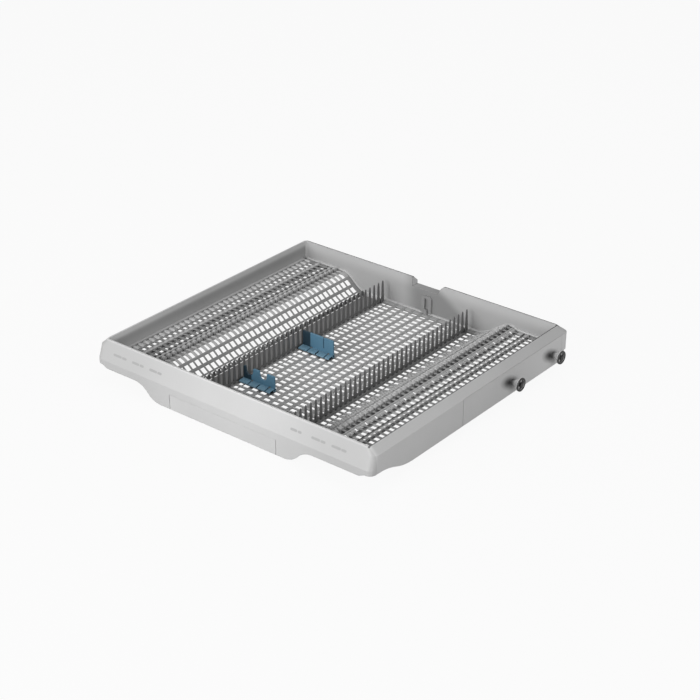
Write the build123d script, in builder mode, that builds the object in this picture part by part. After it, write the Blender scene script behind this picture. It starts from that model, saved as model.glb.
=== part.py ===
from build123d import *
from math import asin, cos, pi, sin
import os

# Pull-out cutlery tray of a built-in dishwasher, in millimetres.
# The origin is the middle of the outer box, on the surface that the tray stands on.
# +Z is up, -Y is the front with the grip, +X is the right side.

# Frame moulding
rim_width = 476.0
rim_depth = 438.0
tray_height = 63.0
wall = 2.4
flare = 11.0
front_band_drop = 29.3
side_band_drop = 10.0
rim_top_drop = 1.0
rim_corner_radius = 6.0
crease_corner_radius = 9.5
skirt_corner_radius = 10.0

# Lower edge of the skirts: high at the corners, low in the middle, with S-shaped swoops between.
# It rises once more round each corner, from the front or rear edge to the higher side edge.
corner_bottom = 22.3
swoop_run = 49.5
left_tab = 18.4
right_tab = 13.4
corner_rise_run = 10.0
side_corner_bottom = 26.5
side_bottom = 12.2
side_swoop_start = 15.0
side_swoop_run = 73.0
side_rear_start = 25.0
side_rear_run = 19.0
rest_lip = 12.0
channel_corner_cut = 5.0

# Notch in the rear wall
notch_left_x = -23.9
notch_width = 49.4
notch_depth = 15.5
notch_shoulder = 16.5

# Bead that runs round the inner walls, and the step below it that carries the inserts
shelf_level = 35.5
crest_level = 39.5
low_level = 11.0
left_crest_x = -158.0
left_foot_x = -114.0
right_foot_x = 93.0
right_crest_x = 159.3
right_shelf_x = 174.0
ramp_steps = 6
crest_steps = 3
right_ramp_bias = 1.2
bead_width = 3.0
step_width = 5.0
step_thickness = 2.6

# Inserts
plate_thickness = 2.4
plate_drop = 1.0
insert_gap = 0.5
row_pitch = 10.6
rows_per_slot = 4
slot_bridge = 7.0
notch_pitch = 2 * row_pitch
notch_root = 0.5
row_end_margin = 6.0
left_insert_edge = -112.0
middle_left_edge = -77.0
middle_right_edge = 88.0
insert_parting = 0.6
rib_height = 1.9
ridge_height = 4.5
ridge_notch_width = 9.0
crest_ridge_height = 3.4
fence_height = 6.0
fence_thickness = 1.6
fence_notch_width = 14.0

# Middle insert: lengthwise ribs, hole columns and the lift hooks at its ends
column_pitch = 16.1
first_column_x = -54.9
column_count = 9
narrow_column_x = -66.0
narrow_column_width = 6.4
middle_hole_width = 8.6
floor_rib_width = 1.8
floor_rib_height = 1.8
lift_x = 5.0
lift_travel = 16.0
hook_width = 6.0
hook_thickness = 2.5
hook_rise = 8.0
nose_height = 5.0
nose_reach = 2.4
guide_clearance = 0.3
guide_cheek = 5.7
guide_end = 1.2
guide_top_end = 4.5

# Tine rows
left_row_x = -73.3
right_row_x = 85.2
tine_height = 45.5
row_axis_height = 3.8
row_bar_top = 7.0
row_bar_bottom = 0.8
row_bar_thickness = 3.4
tine_foot = 5.0
tine_tip = 2.6
tine_tip_thickness = 1.3
neck_radius = 1.3
running_clearance = 0.05
bearing_length = 3.8
bearing_width = 5.2
bearing_gap = 0.4
bearing_mouth = 2.0
bearing_cap = 0.6

# Hinged rests on the middle insert
rest_width = 57.4
rest_right_x = -11.1
rest_thickness = 2.7
front_rest_y = -117.0
rear_rest_y = 12.0
front_rest_height = 25.3
rear_rest_height = 29.3
rest_axis_height = 4.0
barrel_radius = 2.6
barrel_sides = 8
pin_radius = 1.3
ear_radius = 2.4
ear_mouth = 1.9
ear_thickness = 2.4
ear_side_gap = 0.4
ear_clearance = 0.7
bracket_depth = 7.0
bracket_thickness = 1.0
finger_depth = 12.0
finger_gap = 2.0
finger_width = 14.1
end_finger_width = 7.9
finger_top = 2.4
finger_tip_top = 1.2
finger_bottom = 1.3
finger_round = 1.2
finger_count = 3
dip_width = 13.4
dip_depth = 12.0
first_dip_x = 21.0
dip_spacing = 25.4
lobe_chamfer = 2.0
grip_slot_width = 14.0
grip_slot_height = 1.5
grip_slot_drop = 15.4
slit_width = 1.5
slit_depth = 17.5
slit_x = 18.0

# Bridge rail between the left and the middle insert
rail_gap = 1.0
rail_thickness = 4.6
rail_tab_length = 2.4
rail_rib = 1.6

# Grip panel in the front skirt
panel_middle_x = -8.75
panel_width = 193.7
panel_height = 22.8
seam = 0.7
lap_height = 30.0
lap_overhang = 5.0
lap_thickness = 2.0

# Runner covers, axles and rollers
cover_length = 241.4
cover_rear_inset = 19.4
rear_roller_inset = 41.0
roller_spacing = 102.8
roller_height = 30.8
boss_side = 13.0
shank_side = 7.0
shank_clearance = 0.05
collar_radius = 5.4
flare_radius = 8.2
flare_sides = 12
axle_reach = 11.9
shoulder_gap = 0.3
journal_radius = 3.0
head_radius = 3.9
head_length = 0.6
roller_radius = 10.0
roller_width = 3.4
roller_rim = 1.8
roller_hub_radius = 4.7
spoke_width = 2.2
spoke_count = 3
clip_arm_length = 12.0
clip_arm_thickness = 2.0
clip_arm_height = 45.0
clip_arm_count = 3
clip_arm_spacing = 60.0
cover_lap = 9.0

# Sizes that follow from the ones above
skirt_x = rim_width / 2 + flare
skirt_y = rim_depth / 2 + flare
inner_x = rim_width / 2 - wall
inner_y = rim_depth / 2 - wall
seat_drop = plate_drop + plate_thickness
bead_depth = seat_drop + step_thickness
insert_x = inner_x - bead_width - insert_gap
insert_half = inner_y - bead_width - insert_gap
floor_z = low_level - plate_drop
over = 1.0
below = -over
hole_row_pitch = rows_per_slot * row_pitch
slot_length = hole_row_pitch - slot_bridge
notch_count = int(2 * (insert_half - row_end_margin) / notch_pitch)
hole_row_count = int(2 * (insert_half - row_end_margin) / hole_row_pitch)
panel_left_x = panel_middle_x - panel_width / 2
panel_right_x = panel_middle_x + panel_width / 2
deep_left_x = panel_left_x - left_tab
deep_right_x = panel_right_x + right_tab

os.makedirs("parts", exist_ok=True)


def reach(drop):
    """Reach of the frame to the side, the front and the back at a drop below its rim."""
    side_share = min(drop / side_band_drop, 1)
    front_share = min(drop / front_band_drop, 1)
    front = rim_depth / 2 + flare * front_share
    back = rim_depth / 2 + flare * side_share
    return (rim_width / 2 + flare * side_share, front, back)


def draw_outline(drop, radius):
    """Rounded outline of the frame at a drop below its rim."""
    side, front, back = reach(drop)
    with Locations((0, (back - front) / 2)):
        RectangleRounded(2 * side, back + front, radius)


def draw_channel(drop):
    """Outline of the hollow inside the skirts at a drop below the rim, with cut corners."""
    side, front, back = [distance - wall for distance in reach(drop)]
    cut = channel_corner_cut
    half = [(side - cut, -front), (side, cut - front), (side, back - cut), (side - cut, back)]
    draw_polygon(half + [(-x, y) for x, y in reversed(half)])


def ramp(foot, top, steps, bias=1.0):
    """Points of an S-shaped ramp from its foot to its top, without the foot itself."""
    points = []
    for step in range(1, steps + 1):
        share = step / steps
        rise = (1 - cos(pi * share**bias)) / 2
        points.append((foot[0] + (top[0] - foot[0]) * share, foot[1] + (top[1] - foot[1]) * rise))
    return points


left_foot = (left_foot_x, low_level)
right_foot = (right_foot_x, low_level)
right_crest = (right_crest_x, crest_level)
bead_line = [(-rim_width / 2, shelf_level)]
bead_line += reversed(ramp(left_foot, (left_crest_x, shelf_level), ramp_steps))
bead_line += [left_foot, right_foot]
bead_line += ramp(right_foot, right_crest, ramp_steps, right_ramp_bias)
bead_line += ramp(right_crest, (right_shelf_x, shelf_level), crest_steps)
bead_line += [(rim_width / 2, shelf_level)]


def level(x):
    """Height of the bead line at a place across the tray."""
    for (x0, z0), (x1, z1) in zip(bead_line, bead_line[1:]):
        if x0 <= x <= x1:
            return z0 + (z1 - z0) * (x - x0) / (x1 - x0)
    return shelf_level


def strip(x0, x1, top_drop, bottom_drop):
    """Closed outline between two lines that follow the bead line at their own drops."""
    places = [x0] + [x for x, z in bead_line if x0 < x < x1] + [x1]
    top = [(x, level(x) - top_drop) for x in places]
    bottom = [(x, level(x) - bottom_drop) for x in reversed(places)]
    return top + bottom


def draw_polygon(points):
    """Filled polygon in the sketch that is open, kept at its own coordinates."""
    Polygon(*points, align=None)


def draw_rectangle(x0, x1, z0, z1, mode=Mode.ADD):
    """Rectangle between two corners in the sketch that is open."""
    with Locations(((x0 + x1) / 2, (z0 + z1) / 2)):
        Rectangle(x1 - x0, z1 - z0, mode=mode)


def draw_swoop(start, end):
    """S-shaped line of two equal arcs that leaves and arrives level."""
    middle = ((start[0] + end[0]) / 2, (start[1] + end[1]) / 2)
    heading = 1 if end[0] > start[0] else -1
    first = TangentArc(start, middle, tangent=(heading, 0))
    TangentArc(middle, end, tangent=first % 1)


def draw_notches(width, top, bottom):
    """Row of V notches, open at the top, in the sketch that is open."""
    for index in range(notch_count):
        y = (index - (notch_count - 1) / 2) * notch_pitch
        draw_polygon([(y - width / 2, top), (y, bottom), (y + width / 2, top)])


# Hollow between the inner walls and the skirts, open at the bottom
with BuildPart() as channel:
    for drop in (0, side_band_drop, front_band_drop):
        with BuildSketch(Plane.XY.offset(tray_height - rim_top_drop - drop)):
            draw_channel(drop)
    loft(ruled=True)
    with BuildSketch(Plane.XY.offset(tray_height - rim_top_drop - front_band_drop)):
        draw_channel(front_band_drop)
    extrude(amount=below - (tray_height - rim_top_drop - front_band_drop))
    with BuildSketch(Plane.XY.offset(below)):
        Rectangle(rim_width, rim_depth)
    extrude(amount=tray_height - below, mode=Mode.SUBTRACT)
    with BuildSketch(Plane.XY.offset(tray_height - notch_depth - wall)):
        left = notch_left_x - wall
        right = notch_left_x + notch_width + notch_shoulder + wall
        draw_rectangle(left, right, rim_depth / 2 - wall, skirt_y)
    extrude(amount=notch_depth + wall, mode=Mode.SUBTRACT)

# What the lower edge leaves out of the front and rear skirts
with BuildPart() as end_cut:
    with BuildSketch(Plane.XZ):
        corner_rise_x = rim_width / 2 - corner_rise_run
        with BuildLine():
            draw_swoop((deep_left_x, 0), (deep_left_x - swoop_run, corner_bottom))
            Polyline(
                (deep_left_x - swoop_run, corner_bottom),
                (-corner_rise_x, corner_bottom),
                (-rim_width / 2, side_corner_bottom),
                (-skirt_x - over, side_corner_bottom),
                (-skirt_x - over, below),
                (deep_left_x, below),
                (deep_left_x, 0),
            )
        make_face()
        with BuildLine():
            draw_swoop((deep_right_x, 0), (deep_right_x + swoop_run, corner_bottom))
            Polyline(
                (deep_right_x + swoop_run, corner_bottom),
                (corner_rise_x, corner_bottom),
                (rim_width / 2, side_corner_bottom),
                (skirt_x + over, side_corner_bottom),
                (skirt_x + over, below),
                (deep_right_x, below),
                (deep_right_x, 0),
            )
        make_face()
    extrude(amount=skirt_y + over, both=True)
    with BuildSketch(Plane.XY.offset(below)):
        Rectangle(2 * (skirt_x + over), rim_depth)
    extrude(amount=tray_height, mode=Mode.SUBTRACT)

# What the lower edge leaves out of the side skirts
with BuildPart() as side_cut:
    with BuildSketch(Plane.YZ):
        with BuildLine():
            dip_start = -skirt_y + side_swoop_start
            dip_end = dip_start + side_swoop_run
            rise_start = skirt_y - side_rear_start
            rise_end = rise_start + side_rear_run
            Polyline(
                (dip_start, side_corner_bottom),
                (-skirt_y - over, side_corner_bottom),
                (-skirt_y - over, below),
                (skirt_y + over, below),
                (skirt_y + over, side_corner_bottom),
                (rise_end, side_corner_bottom),
            )
            draw_swoop((dip_start, side_corner_bottom), (dip_end, side_bottom))
            Line((dip_end, side_bottom), (rise_start, side_bottom))
            draw_swoop((rise_start, side_bottom), (rise_end, side_corner_bottom))
        make_face()
    extrude(amount=skirt_x + over, both=True)
    with BuildSketch(Plane.XY.offset(below)):
        Rectangle(rim_width, 2 * (skirt_y + over))
    extrude(amount=tray_height, mode=Mode.SUBTRACT)

# The frame: rim, sloping band, skirts and inner walls, in one moulding
cover_rear_y = skirt_y - cover_rear_inset
cover_front_y = cover_rear_y - cover_length
cover_top = tray_height - side_band_drop
with BuildPart() as tray_frame:
    corner_radii = (rim_corner_radius, crease_corner_radius, skirt_corner_radius)
    for drop, radius in zip((0, side_band_drop, front_band_drop), corner_radii):
        with BuildSketch(Plane.XY.offset(tray_height - drop)):
            draw_outline(drop, radius)
    loft(ruled=True)
    with BuildSketch(Plane.XY.offset(tray_height - front_band_drop)):
        draw_outline(front_band_drop, skirt_corner_radius)
    extrude(amount=-(tray_height - front_band_drop))
    add(channel.part, mode=Mode.SUBTRACT)
    with BuildSketch(Plane.XY.offset(below)):
        RectangleRounded(2 * inner_x, 2 * inner_y, rim_corner_radius - wall)
    extrude(amount=2 * tray_height, mode=Mode.SUBTRACT)
    add(end_cut.part, mode=Mode.SUBTRACT)
    add(side_cut.part, mode=Mode.SUBTRACT)
    # the inner walls end under the bead and the step
    for end in (-1, 1):
        with BuildSketch(Plane.XZ.offset(-end * rim_depth / 2)):
            under = strip(-rim_width / 2, rim_width / 2, bead_depth, bead_depth)
            under = under[: len(under) // 2]
            draw_polygon(under + [(rim_width / 2, below), (-rim_width / 2, below)])
        extrude(amount=end * rim_corner_radius, mode=Mode.SUBTRACT)
    with BuildSketch(Plane.XZ):
        side_start = rim_width / 2 - rim_corner_radius
        draw_rectangle(side_start, rim_width / 2, below, shelf_level - bead_depth)
        draw_rectangle(-rim_width / 2, -side_start, below, shelf_level - bead_depth)
    extrude(amount=inner_y, both=True, mode=Mode.SUBTRACT)
    # notch with a square left side and a rounded right shoulder
    with BuildSketch(Plane.XZ.offset(-skirt_y - over)):
        notch_floor = tray_height - notch_depth
        notch_right_x = notch_left_x + notch_width
        with BuildLine():
            Polyline(
                (notch_right_x, notch_floor),
                (notch_left_x, notch_floor),
                (notch_left_x, tray_height + over),
                (notch_right_x + notch_shoulder, tray_height + over),
                (notch_right_x + notch_shoulder, tray_height),
            )
            TangentArc(
                (notch_right_x, notch_floor),
                (notch_right_x + notch_shoulder, tray_height),
                tangent=(0, 1),
            )
        make_face()
    extrude(amount=flare + 2 * wall + over, mode=Mode.SUBTRACT)
    # gap in the front skirt for the grip panel
    with BuildSketch(Plane.XZ.offset(skirt_y + over)):
        draw_rectangle(panel_left_x - seam, panel_right_x + seam, below, panel_height)
    extrude(amount=-(wall + 2 * over), mode=Mode.SUBTRACT)
    # gaps in the side skirts for the runner covers
    for side in (-1, 1):
        with BuildSketch(Plane.YZ.offset(side * (skirt_x + over))):
            draw_rectangle(cover_front_y - seam, cover_rear_y + seam / 2, below, cover_top)
        extrude(amount=-side * (wall + 2 * over), mode=Mode.SUBTRACT)
    # lip under the rear skirt, on which the tray rests
    with BuildSketch(Plane.XY):
        draw_rectangle(deep_left_x + left_tab, deep_right_x - right_tab, skirt_y - rest_lip, skirt_y - wall)
    extrude(amount=wall)
tray_frame.part.label = "tray_frame"
export_step(tray_frame.part, "parts/tray_frame.step")

# Ledges: a bead and a lower step inside each wall, on which the inserts lie
ledge_end_x = inner_x - (rim_corner_radius - wall)
for end, name in ((-1, "front_ledge"), (1, "rear_ledge")):
    with BuildPart() as end_ledge:
        with BuildSketch(Plane.XZ.offset(-end * inner_y)):
            draw_polygon(strip(-ledge_end_x, ledge_end_x, 0, bead_depth))
        extrude(amount=end * bead_width)
        with BuildSketch(Plane.XZ.offset(-end * (inner_y - bead_width))):
            draw_polygon(strip(-ledge_end_x, ledge_end_x, seat_drop, bead_depth))
        extrude(amount=end * step_width)
    end_ledge.part.label = name
    export_step(end_ledge.part, f"parts/{name}.step")
ledge_half = inner_y - bead_width - step_width
for side, name in ((-1, "left_ledge"), (1, "right_ledge")):
    bead = sorted((side * inner_x, side * (inner_x - bead_width)))
    step = sorted((side * (inner_x - bead_width), side * (inner_x - bead_width - step_width)))
    with BuildPart() as side_ledge:
        with BuildSketch(Plane.XZ):
            draw_rectangle(*bead, shelf_level - bead_depth, shelf_level)
            draw_rectangle(*step, shelf_level - bead_depth, shelf_level - seat_drop)
        extrude(amount=ledge_half, both=True)
    side_ledge.part.label = name
    export_step(side_ledge.part, f"parts/{name}.step")

# Grip panel: the low middle of the front skirt, with a lap behind the skirt and a lip to stand on
with BuildPart() as front_grip_panel:
    with BuildSketch(Plane.XZ.offset(skirt_y)):
        draw_rectangle(panel_left_x, panel_right_x, 0, panel_height)
    extrude(amount=-wall)
    with BuildSketch(Plane.XZ.offset(skirt_y - wall)):
        draw_rectangle(panel_left_x - lap_overhang, panel_right_x + lap_overhang, wall, lap_height)
    extrude(amount=-lap_thickness)
    with BuildSketch(Plane.XY):
        draw_rectangle(panel_left_x, panel_right_x, -skirt_y + wall, -skirt_y + rest_lip)
    extrude(amount=wall)
front_grip_panel.part.label = "front_grip_panel"
export_step(front_grip_panel.part, "parts/front_grip_panel.step")

# Runner covers: the rear halves of the side skirts, with bosses for the axles and clip arms
rear_roller_y = skirt_y - rear_roller_inset
roller_places = (rear_roller_y - roller_spacing, rear_roller_y)
cover_middle_y = (cover_front_y + cover_rear_y) / 2
for side, name in ((-1, "left_runner_cover"), (1, "right_runner_cover")):
    with BuildPart() as runner_cover:
        with BuildSketch(Plane.YZ.offset(side * skirt_x)):
            draw_rectangle(cover_front_y, cover_rear_y, 0, cover_top)
        extrude(amount=-side * wall)
        add(side_cut.part, mode=Mode.SUBTRACT)
        with BuildSketch(Plane.YZ.offset(side * (skirt_x - wall))):
            for roller_y in roller_places:
                with Locations((roller_y, roller_height)):
                    Rectangle(boss_side, boss_side)
            with Locations((cover_middle_y, clip_arm_height)):
                with GridLocations(clip_arm_spacing, 1, clip_arm_count, 1):
                    Rectangle(clip_arm_length, clip_arm_thickness)
        extrude(amount=-side * (flare - wall))
        with BuildSketch(Plane.YZ.offset(side * (skirt_x - wall))):
            lap_end = cover_front_y + cover_lap
            draw_rectangle(cover_front_y - cover_lap, lap_end, corner_bottom, clip_arm_height)
        extrude(amount=-side * lap_thickness)
        with BuildSketch(Plane.YZ.offset(side * skirt_x)):
            for roller_y in roller_places:
                with Locations((roller_y, roller_height)):
                    Rectangle(shank_side + 2 * shank_clearance, shank_side + 2 * shank_clearance)
        extrude(amount=-side * flare, mode=Mode.SUBTRACT)
    runner_cover.part.label = name
    export_step(runner_cover.part, f"parts/{name}.step")

# Roller axles: a square shank in the cover, a flare that stands the roller off, a journal and a head
roller_inner_x = skirt_x + axle_reach + shoulder_gap
roller_outer_x = roller_inner_x + roller_width
head_x = roller_outer_x + shoulder_gap
with BuildPart() as roller_axles:
    for side in (-1, 1):
        for roller_y in roller_places:
            with BuildSketch(Plane.YZ.offset(side * skirt_x)):
                with Locations((roller_y, roller_height)):
                    Rectangle(shank_side, shank_side)
            extrude(amount=-side * (flare - shoulder_gap))
            for x, radius in ((skirt_x, collar_radius), (skirt_x + axle_reach, flare_radius)):
                with BuildSketch(Plane.YZ.offset(side * x)):
                    with Locations((roller_y, roller_height)):
                        RegularPolygon(radius, flare_sides)
            loft(ruled=True)
            with BuildSketch(Plane.YZ.offset(side * (skirt_x + axle_reach))):
                with Locations((roller_y, roller_height)):
                    Circle(journal_radius)
            extrude(amount=side * (head_x - skirt_x - axle_reach))
            with BuildSketch(Plane.YZ.offset(side * head_x)):
                with Locations((roller_y, roller_height)):
                    RegularPolygon(head_radius, flare_sides)
            extrude(amount=side * head_length)
roller_axles.part.label = "roller_axles"
export_step(roller_axles.part, "parts/roller_axles.step")

# Rollers: a disc with windows between its spokes, and a bore that runs on the journal


def window_point(radius, share):
    """Corner of a window at a radius, at a share of the way from its middle to the next spoke."""
    half_angle = pi / spoke_count - asin(spoke_width / 2 / radius)
    return (radius * cos(share * half_angle), radius * sin(share * half_angle))


window = [window_point(roller_radius - roller_rim, share) for share in (-1, -1 / 3, 1 / 3, 1)]
window += [window_point(roller_hub_radius, share) for share in (1, 0, -1)]
for side, side_name in ((-1, "left"), (1, "right")):
    for roller_y, end_name in zip(roller_places, ("front", "rear")):
        name = f"{end_name}_{side_name}_roller"
        face_middle = (side * roller_inner_x, roller_y, roller_height)
        face = Plane(origin=face_middle, x_dir=(0, 1, 0), z_dir=(side, 0, 0))
        with BuildPart() as roller:
            with BuildSketch(face):
                Circle(roller_radius)
                Circle(journal_radius + running_clearance, mode=Mode.SUBTRACT)
                with PolarLocations(0, spoke_count, start_angle=90):
                    Polygon(*window, align=None, mode=Mode.SUBTRACT)
            extrude(amount=roller_width)
        roller.part.label = name
        export_step(roller.part, f"parts/{name}.step")

# Left insert: a perforated grid that climbs from the low floor to the side shelf
left_wall_x = -insert_x
left_slots = (
    (left_wall_x + 41.1, 4.2),
    (left_crest_x + 8.7, 9.0),
    (left_crest_x + 19.8, 7.3),
    (left_crest_x + 31.0, 8.5),
)
left_ribs = ((left_wall_x + 24.3, left_wall_x + 30.7), (left_crest_x - 20, left_crest_x - 16))
left_ridge = (left_crest_x - 15, left_crest_x - 9)
fence_x = left_insert_edge - fence_thickness
with BuildPart() as left_insert:
    with BuildSketch(Plane.XZ):
        draw_polygon(strip(left_wall_x, left_insert_edge, plate_drop, seat_drop))
        for rib_start, rib_end in left_ribs:
            draw_polygon(strip(rib_start, rib_end, plate_drop - rib_height, seat_drop))
        draw_polygon(strip(*left_ridge, plate_drop - ridge_height, seat_drop))
        draw_rectangle(fence_x, left_insert_edge, low_level - seat_drop, floor_z + fence_height)
    extrude(amount=insert_half, both=True)
    with BuildSketch(Plane.XY.offset(tray_height)):
        for x, width in left_slots:
            with Locations((x, 0)):
                with GridLocations(1, hole_row_pitch, 1, hole_row_count):
                    Rectangle(width, slot_length)
    extrude(amount=-tray_height, mode=Mode.SUBTRACT)
    with BuildSketch(Plane.YZ.offset(left_ridge[0])):
        ridge_top = shelf_level - plate_drop + ridge_height
        draw_notches(ridge_notch_width, ridge_top, ridge_top - ridge_height + notch_root)
    extrude(amount=left_ridge[1] - left_ridge[0], mode=Mode.SUBTRACT)
    with BuildSketch(Plane.YZ.offset(fence_x)):
        fence_top = floor_z + fence_height
        draw_notches(fence_notch_width, fence_top, floor_z + notch_root)
    extrude(amount=fence_thickness, mode=Mode.SUBTRACT)
left_insert.part.label = "left_insert"
export_step(left_insert.part, "parts/left_insert.step")

# Right insert: the same kind of grid, with a serrated crest
right_wall_x = insert_x
right_edge = middle_right_edge + insert_parting
right_slots = (
    (right_edge + 5.6, 8.6),
    (right_edge + 16.1, 6.4),
    (right_crest_x + 20.7, 5.5),
    (right_crest_x + 46.7, 9.1),
)
right_ribs = (
    (right_crest_x + 4.7, right_crest_x + 10.7),
    (right_crest_x + 16.3, right_crest_x + 25.7),
    (right_crest_x + 29.1, right_crest_x + 34.7),
)
right_ridge = (right_crest_x - 8, right_crest_x - 2)
with BuildPart() as right_insert:
    with BuildSketch(Plane.XZ):
        draw_polygon(strip(right_edge, right_wall_x, plate_drop, seat_drop))
        for rib_start, rib_end in right_ribs:
            draw_polygon(strip(rib_start, rib_end, plate_drop - rib_height, seat_drop))
        draw_polygon(strip(*right_ridge, plate_drop - crest_ridge_height, seat_drop))
    extrude(amount=insert_half, both=True)
    with BuildSketch(Plane.XY.offset(tray_height)):
        for x, width in right_slots:
            with Locations((x, 0)):
                with GridLocations(1, hole_row_pitch, 1, hole_row_count):
                    Rectangle(width, slot_length)
    extrude(amount=-tray_height, mode=Mode.SUBTRACT)
    with BuildSketch(Plane.YZ.offset(right_ridge[0])):
        ridge_top = level(right_ridge[1]) - plate_drop + crest_ridge_height
        draw_notches(ridge_notch_width, ridge_top, ridge_top - crest_ridge_height + notch_root)
    extrude(amount=right_ridge[1] - right_ridge[0], mode=Mode.SUBTRACT)
right_insert.part.label = "right_insert"
export_step(right_insert.part, "parts/right_insert.step")

# Bridge rail: carries the inner edge of the left insert as it slides, and ties front and rear steps
rail_left_x = left_insert_edge + rail_gap
rail_right_x = middle_left_edge - rail_gap
step_inner_y = inner_y - bead_width - step_width
rail_top = low_level - seat_drop
with BuildPart() as bridge_rail:
    with BuildSketch(Plane.XY.offset(rail_top)):
        draw_rectangle(rail_left_x, rail_right_x, -step_inner_y, step_inner_y)
    extrude(amount=-rail_thickness)
    with BuildSketch(Plane.XY.offset(low_level - bead_depth)):
        tab_end = step_inner_y + rail_tab_length
        draw_rectangle(rail_left_x, rail_right_x, -tab_end, tab_end)
    extrude(amount=rail_top - rail_thickness - (low_level - bead_depth))
    with BuildSketch(Plane.XZ):
        inner_left = rail_left_x + rail_rib
        inner_right = rail_right_x - rail_rib
        draw_rectangle(inner_left, inner_right, below, rail_top - rail_rib)
    extrude(amount=step_inner_y - rail_tab_length, both=True, mode=Mode.SUBTRACT)
bridge_rail.part.label = "bridge_rail"
export_step(bridge_rail.part, "parts/bridge_rail.step")

# Middle insert: a flat perforated floor with lengthwise ribs
middle_columns = [first_column_x + index * column_pitch for index in range(column_count)]
rest_left_x = rest_right_x - rest_width
with BuildPart() as middle_insert:
    with BuildSketch(Plane.XY.offset(low_level - seat_drop)):
        draw_rectangle(middle_left_edge, middle_right_edge, -insert_half, insert_half)
        with Locations((narrow_column_x, 0)):
            with GridLocations(1, hole_row_pitch, 1, hole_row_count):
                Rectangle(narrow_column_width, slot_length, mode=Mode.SUBTRACT)
        for x in middle_columns:
            with Locations((x, 0)):
                with GridLocations(1, hole_row_pitch, 1, hole_row_count):
                    Rectangle(middle_hole_width, slot_length, mode=Mode.SUBTRACT)
    extrude(amount=plate_thickness)
    with BuildSketch(Plane.XY.offset(floor_z)):
        for x in middle_columns[:-1]:
            rib_x = x + column_pitch / 2
            rib_half = floor_rib_width / 2
            draw_rectangle(rib_x - rib_half, rib_x + rib_half, -step_inner_y, step_inner_y)
        for rest_y in (front_rest_y, rear_rest_y):
            with Locations(((rest_left_x + rest_right_x) / 2, rest_y)):
                Rectangle(rest_width + 2 * seam, bracket_depth + 2 * seam, mode=Mode.SUBTRACT)
    extrude(amount=floor_rib_height)
middle_insert.part.label = "middle_insert"
export_step(middle_insert.part, "parts/middle_insert.step")

# Lift hooks: clips on the ends of the middle insert, with a nose that rides in the guide
for end, name in ((-1, "front_lift_hook"), (1, "rear_lift_hook")):
    with BuildPart() as lift_hook:
        with BuildSketch(Plane.YZ.offset(lift_x)):
            draw_polygon(
                [
                    (end * (insert_half - hook_thickness), floor_z),
                    (end * insert_half, floor_z),
                    (end * insert_half, floor_z + hook_rise - nose_height),
                    (end * (insert_half + nose_reach), floor_z + hook_rise - nose_height),
                    (end * (insert_half + nose_reach), floor_z + hook_rise),
                    (end * (insert_half - hook_thickness), floor_z + hook_rise),
                ]
            )
        extrude(amount=hook_width / 2, both=True)
    lift_hook.part.label = name
    export_step(lift_hook.part, f"parts/{name}.step")

# Lift guides: slotted plates on the end walls, in which the hooks ride up and down
guide_bottom = low_level
guide_top = floor_z + hook_rise + lift_travel + guide_end + guide_top_end
slot_half = hook_width / 2 + guide_clearance
guide_half = slot_half + guide_cheek
for end, name in ((-1, "front_lift_guide"), (1, "rear_lift_guide")):
    with BuildPart() as lift_guide:
        with BuildSketch(Plane.XZ.offset(-end * inner_y)):
            draw_rectangle(lift_x - guide_half, lift_x + guide_half, guide_bottom, guide_top)
            slot_top = floor_z + hook_rise + lift_travel + guide_end
            slot_bottom = floor_z + hook_rise - nose_height - guide_end
            draw_rectangle(lift_x - slot_half, lift_x + slot_half, slot_bottom, slot_top, Mode.SUBTRACT)
        extrude(amount=end * bead_width)
        upright = lift_guide.edges().filter_by(Axis.Y).group_by(Axis.Z)[-1]
        chamfer(upright, guide_cheek / 2)
    lift_guide.part.label = name
    export_step(lift_guide.part, f"parts/{name}.step")

# Tine rows: a comb of tapered tines on a bar, with a round neck before its last tine at each end
tine_count = 2 * int((insert_half - row_end_margin) / row_pitch + 0.5)
last_tine_y = (tine_count - 1) / 2 * row_pitch
bar_half = last_tine_y + tine_foot / 2
neck_places = (-last_tine_y + row_pitch / 2, last_tine_y - row_pitch / 2)
neck_length = bearing_length + 2 * bearing_gap
axis_z = floor_z + row_axis_height
bar_top_z = floor_z + row_bar_top
bar_bottom_z = floor_z + row_bar_bottom
for row_x, name in ((left_row_x, "left_tine_row"), (right_row_x, "right_tine_row")):
    with BuildPart() as tine_row:
        with BuildSketch(Plane.YZ.offset(row_x)):
            draw_rectangle(-bar_half, bar_half, bar_bottom_z, bar_top_z)
            for index in range(tine_count):
                y = index * row_pitch - last_tine_y
                draw_polygon(
                    [
                        (y - tine_foot / 2, bar_top_z),
                        (y - tine_tip / 2, tine_height),
                        (y + tine_tip / 2, tine_height),
                        (y + tine_foot / 2, bar_top_z),
                    ]
                )
            for neck_y in neck_places:
                with Locations((neck_y, (bar_bottom_z + bar_top_z) / 2)):
                    Rectangle(neck_length, row_bar_top, mode=Mode.SUBTRACT)
        extrude(amount=row_bar_thickness / 2, both=True)
        with BuildSketch(Plane.XZ):
            draw_polygon(
                [
                    (row_x - row_bar_thickness / 2, bar_bottom_z),
                    (row_x - row_bar_thickness / 2, bar_top_z),
                    (row_x - tine_tip_thickness / 2, tine_height),
                    (row_x + tine_tip_thickness / 2, tine_height),
                    (row_x + row_bar_thickness / 2, bar_top_z),
                    (row_x + row_bar_thickness / 2, bar_bottom_z),
                ]
            )
        extrude(amount=insert_half, both=True, mode=Mode.INTERSECT)
        for neck_y in neck_places:
            with BuildSketch(Plane.XZ.offset(-neck_y)):
                with Locations((row_x, axis_z)):
                    Circle(neck_radius)
            extrude(amount=neck_length / 2, both=True)
    tine_row.part.label = name
    export_step(tine_row.part, f"parts/{name}.step")

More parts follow.
